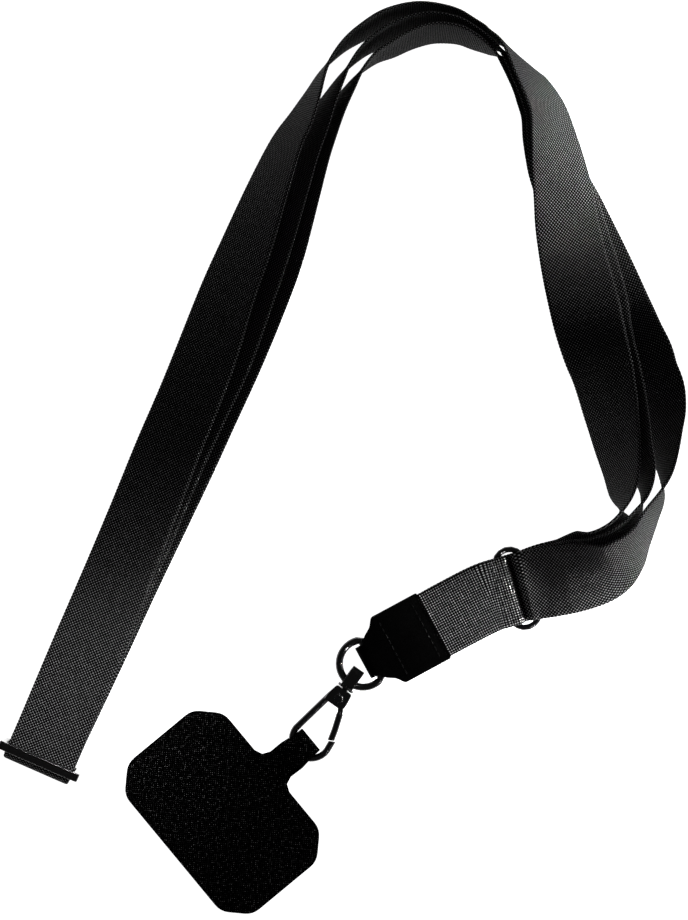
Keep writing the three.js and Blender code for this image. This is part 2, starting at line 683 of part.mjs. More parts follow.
function hookBody() {
  const half = HEAD_THICK / 2;
  const head = plate(headShape(), -half, half);
  const slotLength = HEAD_END + 1 - CHAMBER_END;
  const slot = new THREE.BoxGeometry(slotLength, 2 * HEAD_THICK, FORK_SLOT)
    .translate(CHAMBER_END + slotLength / 2, HEAD_THICK - TONGUE_RADIUS - CLEARANCE, 0);
  const bore = rodAlong(POST_WIDTH / 2 + CLEARANCE, HEAD_START - 1, CHAMBER_END);
  const chamber = rodAlong(FLANGE_WIDTH / 2 + CLEARANCE, HEAD_START + HEAD_WALL, CHAMBER_END);
  const sweepOfGate = meet(
    rodUp(GATE_REACH + CLEARANCE, -HEAD_THICK, HEAD_THICK, RIVET_AT, 0),
    new THREE.BoxGeometry(GATE_REACH, 2 * BOW_RADIUS, 2 * HEAD_THICK)
      .translate(HEAD_END + GATE_WIRE + GATE_REACH / 2, BOW_RADIUS + POST_WIDTH, 0),
  );
  const bow = cut(wire(bowRoute(), HOOK_WIRE, 12), sweepOfGate);
  return join(
    cut(head, slot, bore, chamber),
    cut(bow, slot),
    rodUp(RIVET_WIDTH / 2, -half, half, RIVET_AT, 0),
    rodUp(RIVET_HEAD / 2, half - RIVET_RISE, half + RIVET_RISE, RIVET_AT, 0),
    rodUp(RIVET_HEAD / 2, -half - RIVET_RISE, RIVET_RISE - half, RIVET_AT, 0),
  );
}

// The gate: a tongue on the rivet inside the fork, and the arm that closes the hook
function gate() {
  const thin = FORK_SLOT / 2 - CLEARANCE;
  const noseSide = BOW_OFFSET + BOW_RADIUS * 0.93;
  const armSide = 2 * TONGUE_RADIUS;
  const armStart = new THREE.Vector3(HEAD_END + GATE_WIRE / 2, armSide, 0);
  const armEnd = new THREE.Vector3(RIVET_AT + GATE_REACH, noseSide, 0);
  const armMiddle = armStart.clone().lerp(armEnd, 0.5).setY(mix(armSide, noseSide, 0.56));
  const arm = wire([armStart, armMiddle, armEnd], GATE_WIRE, 12);
  const tongue = join(
    rodUp(TONGUE_RADIUS, -thin, thin, RIVET_AT, 0),
    plate(polygon([
      [RIVET_AT + 0.2 * TONGUE_RADIUS, -0.94 * TONGUE_RADIUS], [HEAD_END, TONGUE_RADIUS],
      [HEAD_END + GATE_WIRE, armSide - CLEARANCE], [HEAD_END + GATE_WIRE, armSide + GATE_WIRE / 2],
      [HEAD_END, armSide + 0.2 * GATE_WIRE], [RIVET_AT - 0.3 * TONGUE_RADIUS, 0.9 * TONGUE_RADIUS],
    ]), -thin, thin),
  );
  const whole = join(tongue, arm);
  const swept = rodUp(GATE_REACH, -HEAD_THICK, HEAD_THICK, RIVET_AT, 0);
  return cut(meet(whole, swept), rodUp(RIVET_WIDTH / 2 + CLEARANCE, -HEAD_THICK, HEAD_THICK, RIVET_AT, 0));
}

// Phone patch. Its own X runs up its neck to the clasp and its Y along its length

function phonePatch(bowDistance) {
  const halfWidth = PATCH_WIDTH / 2;
  const halfLength = PATCH_LENGTH / 2;
  const neck = NECK_WIDTH / 2;
  const loopEnd = bowDistance;
  const wireAt = bowDistance - BOW_RADIUS;
  const inner = HOOK_WIRE / 2 + CLEARANCE;
  const pocketEnd = wireAt - 2.3 * inner;
  const rightSide = [
    [-halfWidth, halfLength - PATCH_CORNER], [PATCH_CORNER - halfWidth, halfLength],
    [halfWidth - PATCH_CORNER, halfLength], [halfWidth, halfLength - PATCH_CORNER],
    [halfWidth, neck + NECK_FILLET],
  ];
  const sheet = plate(roundedPolygon(
    [...rightSide, ...rightSide.slice().reverse().map(([x, y]) => [x, -y])].reverse(), PATCH_ROUND),
  0, PATCH_THICK);
  // The neck's fillets and the strip that it becomes, seen from above
  const narrow = BOW_RADIUS - HOOK_WIRE / 2 - 2 * CLEARANCE;
  const stripRows = [
    [halfWidth - 2, neck + NECK_FILLET], [halfWidth, neck + NECK_FILLET],
    [halfWidth + NECK_FILLET * 0.3, neck + NECK_FILLET * 0.3], [halfWidth + NECK_FILLET, neck],
    [wireAt - 2, neck], [loopEnd - 3, narrow], [loopEnd, narrow],
  ];
  const strip = polygon([...stripRows, ...stripRows.slice().reverse().map(([x, y]) => [x, -y])].reverse());
  // The strip's side view: over the hook's bow, round inside the window and back under the bow
  const outer = inner + LOOP_THICK;
  const top = AXIS_HEIGHT + outer;
  const bottom = AXIS_HEIGHT - outer;
  const side = new THREE.Shape();
  side.moveTo(halfWidth - 3, 0);
  side.lineTo(pocketEnd, 0);
  side.lineTo(pocketEnd + 2, bottom);
  side.lineTo(loopEnd - outer, bottom);
  side.absarc(loopEnd - outer, AXIS_HEIGHT, outer, -Math.PI / 2, Math.PI / 2, false);
  side.lineTo(wireAt - inner, top);
  side.lineTo(mix(halfWidth, pocketEnd, 0.4), PATCH_THICK + LOOP_THICK);
  side.lineTo(halfWidth - 3, PATCH_THICK);
  side.closePath();
  const pocket = new THREE.Path();
  pocket.moveTo(pocketEnd, PATCH_THICK + 0.2);
  pocket.lineTo(pocketEnd + 2, AXIS_HEIGHT - inner);
  pocket.lineTo(loopEnd - outer, AXIS_HEIGHT - inner);
  pocket.absarc(loopEnd - outer, AXIS_HEIGHT, inner, -Math.PI / 2, Math.PI / 2, false);
  pocket.lineTo(wireAt - 0.6 * inner, AXIS_HEIGHT + inner);
  pocket.closePath();
  side.holes.push(pocket);
  const sideStrip = plate(side, -NECK_WIDTH, NECK_WIDTH, 6).rotateX(Math.PI / 2);
  return join(sheet, meet(sideStrip, plate(strip, -1, 2 * top)));
}

// Assembly

const WEBBING = { color: 0x0b0b0c, roughness: 0.85, metalness: 0 };
const BLACK_NICKEL = { color: 0x2a2a2d, roughness: 0.22, metalness: 1 };
const LEATHER = { color: 0x0a0a0a, roughness: 0.6, metalness: 0 };

function mesh(name, geometry, finish) {
  const piece = new THREE.Mesh(geometry, new THREE.MeshStandardMaterial(finish));
  piece.name = name;
  return piece;
}

// A group at a place on the table, turned by an angle in degrees
function placed(place, degrees, ...meshes) {
  const group = new THREE.Group();
  group.position.copy(place);
  group.rotation.z = radians(degrees);
  group.add(...meshes);
  return group;
}

const claspStart = D_CENTRE.clone().addScaledVector(heading(CLASP_TURN), D_RING_OUTER / 2);
const bowCentre = claspStart.clone().addScaledVector(heading(CLASP_TURN), BOW_REACH)
  .addScaledVector(heading(CLASP_TURN + 90), BOW_OFFSET);
const patchCentre = bowCentre.clone().addScaledVector(heading(PATCH_TURN), -PATCH_REACH).setZ(0);
const tabFold = tabPoint(0, 0);

const sliderMesh = mesh('slider', slider(), BLACK_NICKEL);
const sliderAlong = laid(ROUTE[1]).sub(laid(ROUTE[0])).normalize();
const sliderAcross = new THREE.Vector3().crossVectors(sliderAlong, UP);
sliderMesh.quaternion.setFromRotationMatrix(
  new THREE.Matrix4().makeBasis(sliderAcross, UP, sliderAlong.clone().negate()));
sliderMesh.position.copy(laid(ROUTE[0]));

const assembly = new THREE.Group();
assembly.add(
  mesh('strap_webbing', strap(), WEBBING),
  sliderMesh,
  mesh('oval_ring', ovalRing(), BLACK_NICKEL),
  mesh('short_loop', shortLoop(), WEBBING),
  mesh('d_ring', dRing(), BLACK_NICKEL),
  placed(tabFold, TAB_TURN, mesh('leather_tab', leatherTab(), LEATHER)),
  placed(claspStart, CLASP_TURN,
    mesh('swivel_eye', swivelEye(), BLACK_NICKEL),
    mesh('hook_body', hookBody(), BLACK_NICKEL),
    mesh('gate', gate(), BLACK_NICKEL)),
  placed(patchCentre, PATCH_TURN, mesh('phone_patch', phonePatch(PATCH_REACH), WEBBING)),
);

// The origin is under the middle of the whole, on the table
const bounds = new THREE.Box3().setFromObject(assembly, true);
assembly.position.set(
  -(bounds.min.x + bounds.max.x) / 2, -(bounds.min.y + bounds.max.y) / 2, -bounds.min.z);

const phoneStrap = new THREE.Group();
phoneStrap.add(assembly);
export default phoneStrap;
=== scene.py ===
# %% [markdown]
# # A phone crossbody strap, laid out on a white table
#
# The real object is one long strip of black polyester webbing. It runs from a small oval ring all
# the way round to a sliding buckle, back and round again, so most of the strap is three passes deep.
# A short loop of the same webbing joins the ring to a leather tab. A swivel clasp hangs on the tab's
# D-ring and carries a thin woven patch that lies inside a phone case.
#
# The CAD model already has every piece at its place. This lesson dresses it: woven cloth with real
# ribs, leather with stitches, and polished black nickel. Every piece is made from its CAD mesh, so
# it stays where the CAD model has it.

# %% Load the CAD model
import itertools
import math

import bmesh
import bpy
import numpy as np
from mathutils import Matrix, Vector


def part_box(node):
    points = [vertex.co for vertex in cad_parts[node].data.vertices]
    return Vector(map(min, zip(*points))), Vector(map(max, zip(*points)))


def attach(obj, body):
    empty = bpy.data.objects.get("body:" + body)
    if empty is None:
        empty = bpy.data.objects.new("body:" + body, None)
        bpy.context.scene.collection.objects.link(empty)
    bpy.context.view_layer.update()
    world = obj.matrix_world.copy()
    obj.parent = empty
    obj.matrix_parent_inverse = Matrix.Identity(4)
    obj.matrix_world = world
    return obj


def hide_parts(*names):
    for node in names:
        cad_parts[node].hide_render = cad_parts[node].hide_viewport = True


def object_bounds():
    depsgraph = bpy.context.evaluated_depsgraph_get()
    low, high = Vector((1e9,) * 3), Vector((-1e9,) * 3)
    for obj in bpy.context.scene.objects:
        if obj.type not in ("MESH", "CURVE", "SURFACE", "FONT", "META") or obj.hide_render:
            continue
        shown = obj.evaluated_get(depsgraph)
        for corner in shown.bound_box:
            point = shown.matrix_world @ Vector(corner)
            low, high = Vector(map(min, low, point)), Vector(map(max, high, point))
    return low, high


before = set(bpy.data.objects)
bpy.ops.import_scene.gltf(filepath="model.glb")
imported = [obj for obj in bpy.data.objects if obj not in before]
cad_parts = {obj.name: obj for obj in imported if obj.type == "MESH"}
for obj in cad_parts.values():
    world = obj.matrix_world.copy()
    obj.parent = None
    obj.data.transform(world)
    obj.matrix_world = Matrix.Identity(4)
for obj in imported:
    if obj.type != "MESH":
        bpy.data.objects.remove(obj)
cad_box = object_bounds()
MM = 0.001
TAU = 2 * math.pi
print("CAD nodes:", ", ".join(sorted(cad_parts)))

# %% [markdown]
# ## Where the camera stands
#
# The photograph looks straight down, so the laid strap is seen in plan and only the tall, tilted
# stretches show a little perspective. An orthographic camera would lose that little. A long lens from
# about a metre keeps it small and true. The lens follows from the distance and from the length of
# table that the picture takes in.

# %% Camera
PICTURE_LENGTH = 328 * MM
PICTURE_CENTRE = (0.87 * MM, 0.66 * MM)
CAMERA_HEIGHT = 1.1
SENSOR = 36.0

camera = bpy.data.objects.new("camera", bpy.data.cameras.new("camera"))
bpy.context.scene.collection.objects.link(camera)
camera.location = (*PICTURE_CENTRE, CAMERA_HEIGHT)
camera.data.sensor_width = SENSOR
camera.data.lens = SENSOR * CAMERA_HEIGHT / PICTURE_LENGTH
camera.data.clip_start = 0.01
bpy.context.scene.camera = camera
print("lens", round(camera.data.lens, 1), "mm")

# %% [markdown]
# ## Sums on sockets
#
# A weave is easiest to think of as a formula: two cosines multiplied together make a lattice of
# bumps. Placing and linking a Math node for each step hides that formula. The small class below wraps
# a socket, so the formula can be written in plain Python and each sum adds its own Math node.
# Python tries the reflected form, such as `__radd__`, when the plain number stands on the left.

# %% A socket that can be used in sums
class Wire:
    """A socket of a material's node tree that takes part in sums."""

    def __init__(self, tree, socket):
        self.tree = tree
        self.socket = socket

    def math(self, operation, *values):
        node = self.tree.nodes.new("ShaderNodeMath")
        node.operation = operation
        for slot, value in zip(node.inputs, values):
            join(self.tree, slot, value)
        return Wire(self.tree, node.outputs[0])

    def __add__(self, other): return self.math("ADD", self, other)
    def __radd__(self, other): return self.math("ADD", other, self)
    def __sub__(self, other): return self.math("SUBTRACT", self, other)
    def __rsub__(self, other): return self.math("SUBTRACT", other, self)
    def __mul__(self, other): return self.math("MULTIPLY", self, other)
    def __rmul__(self, other): return self.math("MULTIPLY", other, self)
    def __pow__(self, other): return self.math("POWER", self, other)
    def cos(self): return self.math("COSINE", self)
    def above(self, level): return self.math("MAXIMUM", self, level)
    def below(self, level): return self.math("MINIMUM", self, level)


def join(tree, slot, value):
    """Link a wire to a socket, or set the socket to a plain value."""
    if isinstance(value, Wire):
        tree.links.new(value.socket, slot)
    else:
        slot.default_value = value


print("reflected sums:", ", ".join(name for name in vars(Wire) if name.startswith("__r")))

# %% [markdown]
# ## A finish is one shader and what feeds it
#
# Cloth, leather, thread and nickel all use Blender's Principled shader. What is the same all over a
# surface is set on the shader's own sockets when the finish is made. What changes over it is fed in
# by a wire. `add` makes any node other than a sum: its settings go in first, because they decide
# which sockets it has, and then the values or links of those sockets.

# %% Finishes
class Finish:
    """A material with one Principled shader."""

    def __init__(self, name, **constants):
        self.material = bpy.data.materials.new(name)
        self.material.use_nodes = True
        self.tree = self.material.node_tree
        self.shader = self.tree.nodes["Principled BSDF"]
        for key, value in constants.items():
            socket = key.replace("_", " ").title().replace("Ior", "IOR")
            self.shader.inputs[socket].default_value = value

    def add(self, kind, settings=None, output=0, **inputs):
        """Any node: its settings first, then the values or links of its sockets."""
        node = self.tree.nodes.new("ShaderNode" + kind)
        for key, value in (settings or {}).items():
            setattr(node, key, value)
        for key, value in inputs.items():
            join(self.tree, next(s for s in node.inputs if s.name == key and s.enabled), value)
        return Wire(self.tree, node.outputs[output])

    def feed(self, socket, value):
        join(self.tree, self.shader.inputs[socket], value)

    def between(self, low, high, amount):
        """A colour between two, by an amount from 0 to 1."""
        return self.add("Mix", {"data_type": "RGBA"}, 2, Factor=amount, A=(*low, 1), B=(*high, 1))

    def solid_place(self):
        """The place in the piece's own space, in metres."""
        return self.add("TexCoord", output=3)

    def cloth_place(self):
        """The places along and across a woven piece, in weave repeats."""
        along = self.add("SeparateXYZ", Vector=self.add("UVMap", {"uv_map": "cloth"}))
        return along, Wire(self.tree, along.socket.node.outputs[1])

    def relief(self, height, distance):
        self.feed("Normal", self.add("Bump", Height=height, Distance=distance))


print("a finish can", ", ".join(name for name in vars(Finish) if not name.startswith("_")))

# %% [markdown]
# ## Finding the strip's cut end
#
# The CAD strap is a strip of four long edges, carried along its route. To weave cloth on it we need
# to know how far along the strip each place is. The route could be typed in again here, but then
# there would be two copies to keep alike. The mesh itself can tell. A walk over it, always to the
# neighbours that haven't been met yet, ends at the farthest corner. Doing it twice lands on a cut
# end, whose face is known by its two sides: the webbing's thickness and its width.

# %% The cut end of a strip
WEB_WIDTH = 25 * MM
WEB_THICK = 1.2 * MM
THICK_SLACK = 0.1
WIDTH_SLACK = 0.01


def farthest(start):
    """The last vertex that a walk over the mesh reaches."""
    met, ring = {start}, [start]
    while True:
        step = [e.other_vert(v) for v in ring for e in v.link_edges]
        fresh = list(dict.fromkeys(v for v in step if v not in met))
        if not fresh:
            return ring[0]
        met.update(fresh)
        ring = fresh


def cut_end(mesh):
    """The four corners of a strip's end, in order round it."""
    tip = farthest(farthest(mesh.verts[0]))
    for face in tip.link_faces:
        short, long = sorted(edge.calc_length() for edge in face.edges)[:2]
        if (abs(short - WEB_THICK) < THICK_SLACK * WEB_THICK
                and abs(long - WEB_WIDTH) < WIDTH_SLACK * WEB_WIDTH):
            slant = max(face.edges, key=lambda edge: edge.calc_length())
            corners = {v for f in slant.link_faces for v in f.verts}
            by_reach = sorted(corners, key=lambda v: (v.co - tip.co).length)
            return [by_reach[0], by_reach[2], by_reach[3], by_reach[1]]
    raise ValueError("no cut end found")


print("looking for an end of", WEB_WIDTH / MM, "by", WEB_THICK / MM, "mm")

# %% [markdown]
# ## Ring by ring along the strip
#
# From the four corners of the cut end, the next four corners are again the neighbours that haven't
# been met. They come in no sure order, so each is matched with the nearest corner of the ring before
# it: of all orders of four, the one with the least total distance is taken. Each ring then gives a
# centre, a direction across the strip and a direction up through it.

# %% Sections of a strip
WELD = 0.001 * MM


def matched(fresh, ring):
    """New corners in the order of the ring that they follow."""
    def distance(order):
        return sum((a.co - b.co).length_squared for a, b in zip(order, ring))
    return list(min(itertools.permutations(fresh), key=distance))


def strip_sections(node):
    """The centre, the sideways and the upward direction of every section of a strip."""
    mesh = bmesh.new()
    mesh.from_mesh(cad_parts[node].data)
    bmesh.ops.remove_doubles(mesh, verts=mesh.verts, dist=WELD)
    mesh.verts.ensure_lookup_table()
    ring = cut_end(mesh)
    met = set(ring)
    rings = []
    while ring:
        rings.append([v.co.copy() for v in ring])
        step = [e.other_vert(v) for v in ring for e in v.link_edges]
        fresh = list(dict.fromkeys(v for v in step if v not in met))
        met.update(fresh)
        ring = matched(fresh, ring) if fresh else []
    mesh.free()
    corners = np.array(rings)
    across = corners[:, 1] + corners[:, 2] - corners[:, 0] - corners[:, 3]
    upward = corners[:, 2] + corners[:, 3] - corners[:, 0] - corners[:, 1]
    return corners.mean(axis=1), across, upward


for node in ("strap_webbing", "short_loop"):
    print(node, "has", len(strip_sections(node)[0]), "sections")

# %% [markdown]
# ## A smooth strip between the sections
#
# Real webbing bends smoothly, while the CAD strip has a few hundred straight steps. Cubic pieces that
# pass through every section and agree in slope with their neighbours give the places between them.
# The distance along the strip is the only thing that has to be given, which suits a weave.

# %% Strips as functions of distance
LOOK_AHEAD = 0.01 * MM


def running(points):
    """The distance along a line of points at each of them."""
    steps = np.linalg.norm(np.diff(points, axis=0), axis=1)
    return np.concatenate([[0.0], np.cumsum(steps)])


def smooth_through(knots, values, at):
    """A smooth curve through values at their knots."""
    slopes = np.gradient(values, knots, axis=0)
    place = np.clip(np.searchsorted(knots, at, side="right") - 1, 0, len(knots) - 2)
    span = (knots[place + 1] - knots[place])[:, None]
    t = ((at - knots[place])[:, None]) / span
    return ((2 * t**3 - 3 * t**2 + 1) * values[place] + (t**3 - 2 * t**2 + t) * span * slopes[place]
            + (3 * t**2 - 2 * t**3) * values[place + 1] + (t**3 - t**2) * span * slopes[place + 1])


def unit(vectors):
    """Vectors of length one."""
    return vectors / np.linalg.norm(vectors, axis=-1, keepdims=True)


class Strip:
    """A strip of webbing as smooth functions of the distance along it."""

    def __init__(self, node):
        self.centre, self.across, self.upward = strip_sections(node)
        self.run = running(self.centre)
        self.length = float(self.run[-1])

    def at(self, distance):
        """The centre, the sideways and the upward direction at each distance."""
        centre = smooth_through(self.run, self.centre, distance)
        along = unit(smooth_through(self.run, self.centre, distance + LOOK_AHEAD) - centre)
        across = unit(smooth_through(self.run, unit(self.across), distance))
        upward = unit(np.cross(along, across))
        facing = np.sign((upward * smooth_through(self.run, unit(self.upward), distance)).sum(axis=1))
        return centre, across, upward * facing[:, None]


strap = Strip("strap_webbing")
loop = Strip("short_loop")
print("strap", round(strap.length / MM), "mm long, short loop", round(loop.length / MM), "mm long")

# %% [markdown]
# ## The strip's woven edge
#
# Heavy strap webbing is woven so tightly that its weft turns round at each edge in a row of small
# knuckles. From a metre away those knuckles are what makes the edge look like cloth and not like
# plastic. A bump in the material can't change an outline, so the knuckles are real geometry: twelve
# points round the section, and four rows of them to each repeat of the weave.

# %% Section of the webbing
REPEAT = 1.25 * MM
ROWS_PER_REPEAT = 4
KNUCKLE = 0.16 * MM
RIB = 0.035 * MM
# Each point of the section: its share of the half width, its share of the half thickness, how far it
# follows the knuckles, how far it follows the ribs
SECTION = [
    (-1.000, 0.00, 1.0, 0.0), (-0.965, 0.80, 0.6, 0.6), (-0.900, 1.00, 0.0, 1.0),
    (0.000, 1.00, 0.0, 1.0), (0.900, 1.00, 0.0, 1.0), (0.965, 0.80, 0.6, 0.6),
    (1.000, 0.00, 1.0, 0.0), (0.965, -0.80, 0.6, 0.6), (0.900, -1.00, 0.0, 1.0),
    (0.000, -1.00, 0.0, 1.0), (-0.900, -1.00, 0.0, 1.0), (-0.965, -0.80, 0.6, 0.6),
]
print(round(strap.length / REPEAT), "repeats of the weave along the strap")

# %% [markdown]
# ## Weaving the strip
#
# The mesh is a grid: the section's points one way and the rows along the strip the other way, with a
# face at each end. It is worked out as whole arrays, because a loop over seventy thousand faces is
# slow in Python. The fine lattice on the faces is left to the material. It takes its place along and
# across the strip from the map named `cloth`, so the weave follows every bend.

# %% Webbing mesh
END_MARGIN = 0.02 * MM


def new_object(name, data):
    """An object with a mesh, in the scene."""
    piece = bpy.data.objects.new(name, data)
    bpy.context.scene.collection.objects.link(piece)
    return piece


def strip_faces(rows, count):
    """The faces of a tube of rows with count points each, closed at both ends."""
    first = (np.arange(rows - 1) * count)[:, None]
    here = np.arange(count)
    after = (here + 1) % count
    sides = np.stack([first + here, first + after, first + count + after, first + count + here], axis=-1)
    ends = [list(range(count))[::-1], [(rows - 1) * count + i for i in range(count)]]
    return sides.reshape(-1, 4).tolist() + ends


def webbing(name, strip, finish):
    """A woven strip, with knuckles along both edges and a map of the place along and across it."""
    repeats = round(strip.length / REPEAT)
    rows = repeats * ROWS_PER_REPEAT + 1
    distance = np.linspace(0, strip.length - END_MARGIN, rows)
    centre, across, upward = strip.at(distance)
    wave = np.cos(TAU * distance / REPEAT)
    wide, thick, knuckled, ribbed = np.array(SECTION).T
    width = wide * WEB_WIDTH / 2 + np.outer(wave - 1, np.sign(wide) * knuckled) * KNUCKLE / 2
    height = thick * WEB_THICK / 2 - np.outer(1 - wave, np.sign(thick) * ribbed) * RIB
    points = centre[:, None] + across[:, None] * width[:, :, None] + upward[:, None] * height[:, :, None]
    data = bpy.data.meshes.new(name)
    data.from_pydata(points.reshape(-1, 3).tolist(), [], strip_faces(rows, len(SECTION)))
    along = np.broadcast_to((distance / REPEAT)[:, None], width.shape)
    place = np.stack([along, width / REPEAT], axis=-1)
    corners = np.empty(len(data.loops), dtype=np.int32)
    data.loops.foreach_get("vertex_index", corners)
    data.uv_layers.new(name="cloth").data.foreach_set("uv", place.reshape(-1, 2)[corners].ravel())
    data.shade_smooth()
    mesh = bmesh.new()
    mesh.from_mesh(data)
    bmesh.ops.recalc_face_normals(mesh, faces=mesh.faces)
    mesh.to_mesh(data)
    mesh.free()
    data.materials.append(finish.material)
    print(name, "has", len(data.polygons), "faces and", repeats, "repeats")
    return new_object(name, data)


print("a row is", round(REPEAT / ROWS_PER_REPEAT / MM, 2), "mm long")

# %% [markdown]
# ## The cloth's finish
#
# Black polyester is almost black between its yarns. The tops of the yarns get a painted highlight: a
# paler colour that stands in for their sheen under the light, so the lattice reads as rows of small
# pips. A picture of cloth could be laid on, but it would blur close up and show where it repeats. The
# formula stays sharp at any size: cosine along times cosine across peaks at every other crossing,
# which is how a plain weave's floats are staggered. The short loop shows straight rows instead, so
# there the two cosines are lifted above zero before they are multiplied. A slow noise makes the
# painted highlight stronger on some pips than on others.

# %% Woven finish
STRAIGHT_ROWS = 1.4
UNEVEN_SCALE = 0.9


def woven(name, gap, yarn_highlight, hole, sharpness, staggered=True, pick=(0.45, 1.1, 1), depth=0.16 * MM,
          shine=(0.95, 0.5), specular=0.03):
    """A cloth of pips.

    gap is the colour between the pips and yarn_highlight the colour on them, a painted highlight that
    stands in for the sheen on the floats; hole is the lattice level where a pip starts, sharpness
    narrows the pips, pick says how a noise picks out pips (lowest share, rise and power), depth is
    their height, and shine is the roughness between the pips and on them."""
    cloth = Finish(name, specular_ior_level=specular)
    along, across = cloth.cloth_place()
    if staggered:
        lattice = (along * TAU).cos() * (across * TAU).cos()
    else:
        turn = TAU * STRAIGHT_ROWS
        lattice = ((along * turn).cos() + 1) * ((across * turn).cos() + 1) * 0.5 - 1
    pips = ((lattice - hole) * (1 / (1 - hole))).above(0.0) ** sharpness
    uneven = cloth.add("TexNoise", Vector=cloth.add("UVMap", {"uv_map": "cloth"}),
                       Scale=UNEVEN_SCALE, Detail=2.0)
    amount = (pips * (pick[0] + uneven * pick[1]) ** pick[2]).below(1.0)
    # Painted highlight: the base colour runs from the black between the pips to a pale painted sheen on
    # their tops.
    cloth.feed("Base Color", cloth.between(gap, yarn_highlight, amount))
    cloth.feed("Roughness", shine[0] + amount * (shine[1] - shine[0]))
    cloth.relief(pips, depth)
    return cloth


# The pale colours given to the webbing and the loop below are painted highlights for the sheen of their
# yarns; the black between the pips is the cloth's own.
BETWEEN_YARNS = (0.0005, 0.0005, 0.0006)
web_finish = woven("ribbed_webbing", BETWEEN_YARNS, (0.340, 0.340, 0.344), -0.40, 3.4)
loop_finish = woven("loop_webbing", BETWEEN_YARNS, (0.400, 0.400, 0.404), -0.85, 1.6,
                    staggered=False)
for cloth in (web_finish, loop_finish):
    print(cloth.material.name, "uses", len(cloth.tree.nodes), "nodes")

# %% [markdown] ## The long strap and the short loop  Both are the same webbing, so both come from
# the same function.

# %% Strap and loop
strap_piece = webbing("strap_cloth", strap, web_finish)
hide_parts("strap_webbing")
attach(strap_piece, "root")

loop_piece = webbing("loop_cloth", loop, loop_finish)
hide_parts("short_loop")
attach(loop_piece, "root")

# %% [markdown]
# ## Cast metal from plain solids
#
# The slider, rings and clasp are die-cast zinc with a black nickel plating. Casting and polishing
# round every edge, and it is those rounded edges that carry the sharp highlights. The CAD solids
# have the right shape with sharp corners. A bevel would trip over the small faces where wires meet
# blocks. Remeshing a copy into tiny cubes and relaxing it rounds the corners by a fraction of a
# millimetre and melts joins into each other, as polishing does.

# %% Rounded copies of the metal pieces
RELAX = 0.5


def welded_copy(name, node):
    """A new object with a welded copy of a CAD node's mesh."""
    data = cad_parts[node].data.copy()
    data.name = name
    data.materials.clear()
    mesh = bmesh.new()
    mesh.from_mesh(data)
    bmesh.ops.remove_doubles(mesh, verts=mesh.verts, dist=WELD)
    mesh.to_mesh(data)
    mesh.free()
    return new_object(name, data)


def cast_piece(name, node, cube, passes):
    """A CAD node with its corners rounded off, from cubes of a size and passes of smoothing."""
    piece = welded_copy(name, node)
    cubes = piece.modifiers.new("cubes", "REMESH")
    cubes.mode = "VOXEL"
    cubes.voxel_size = cube
    relax = piece.modifiers.new("relax", "SMOOTH")
    relax.factor = RELAX
    relax.iterations = passes
    graph = bpy.context.evaluated_depsgraph_get()
    data = bpy.data.meshes.new_from_object(piece.evaluated_get(graph))
    piece.modifiers.clear()
    piece.data = data
    data.shade_smooth()
    print(name, "has", len(data.polygons), "faces")
    return piece


print("metal edges are relaxed by", RELAX, "of the way at each pass")

# %% [markdown]
# ## Black nickel
#
# The plating is a dark mirror. A metallic shader takes its colour from the base colour alone, so a
# dark grey makes dark reflections. A plain mirror looks drawn by a computer. A fine noise in the
# roughness stands for the polishing marks and breaks the highlights up a little.

# %% Black nickel and the metal pieces
GRAIN_SCALE = 900.0
SMOOTHEST, GRAIN_RISE = 0.08, 0.12
# Each metal piece: the body that carries it, the size of the cubes, the passes of smoothing
METAL = {
    "slider": ("root", 0.20 * MM, 6), "oval_ring": ("root", 0.16 * MM, 8),
    "d_ring": ("root", 0.16 * MM, 8), "swivel_eye": ("root", 0.12 * MM, 4),
    "hook_body": ("hook", 0.14 * MM, 5), "gate": ("gate", 0.12 * MM, 5),
}

nickel = Finish("black_nickel", metallic=1.0, base_color=(0.09, 0.088, 0.09, 1))
grain = nickel.add("TexNoise", Vector=nickel.solid_place(), Scale=GRAIN_SCALE, Detail=2.0)
nickel.feed("Roughness", SMOOTHEST + grain * GRAIN_RISE)

for node, (body, cube, passes) in METAL.items():
    piece = cast_piece(node + "_cast", node, cube, passes)
    piece.data.materials.append(nickel.material)
    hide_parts(node)
    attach(piece, body)

# %% [markdown]
# ## Soft edges for flat pieces
#
# The leather tab and the patch are cut from flat stock, and their cut edges are sanded, so they are
# softly rounded. Cubes would eat into such thin sheets. Here a bevel is the better way: the flat
# faces are first joined up again, so that only the true edges are left, and those get a small radius.

# %% Soft-edged copies
FLAT_ANGLE = math.radians(1)
EDGE_ANGLE = math.radians(50)
CREASE_ANGLE = math.radians(35)


def soft_edged(name, node, radius, steps=3):
    """A copy of a CAD node with its edges rounded."""
    piece = welded_copy(name, node)
    mesh = bmesh.new()
    mesh.from_mesh(piece.data)
    bmesh.ops.dissolve_limit(mesh, angle_limit=FLAT_ANGLE, verts=mesh.verts, edges=mesh.edges)
    sharp = [e for e in mesh.edges if len(e.link_faces) == 2 and e.calc_face_angle() > EDGE_ANGLE]
    bmesh.ops.bevel(mesh, geom=sharp, offset=radius, segments=steps, affect="EDGES", profile=0.5,
                    clamp_overlap=True)
    bmesh.ops.triangulate(mesh, faces=mesh.faces)
    bmesh.ops.recalc_face_normals(mesh, faces=mesh.faces)
    mesh.to_mesh(piece.data)
    mesh.free()
    piece.data.shade_smooth()
    piece.data.set_sharp_from_angle(angle=CREASE_ANGLE)
    print(name, "has", len(piece.data.polygons), "faces and", len(sharp), "rounded edges")
    return piece


print("edges over", round(math.degrees(EDGE_ANGLE)), "degrees get a radius")

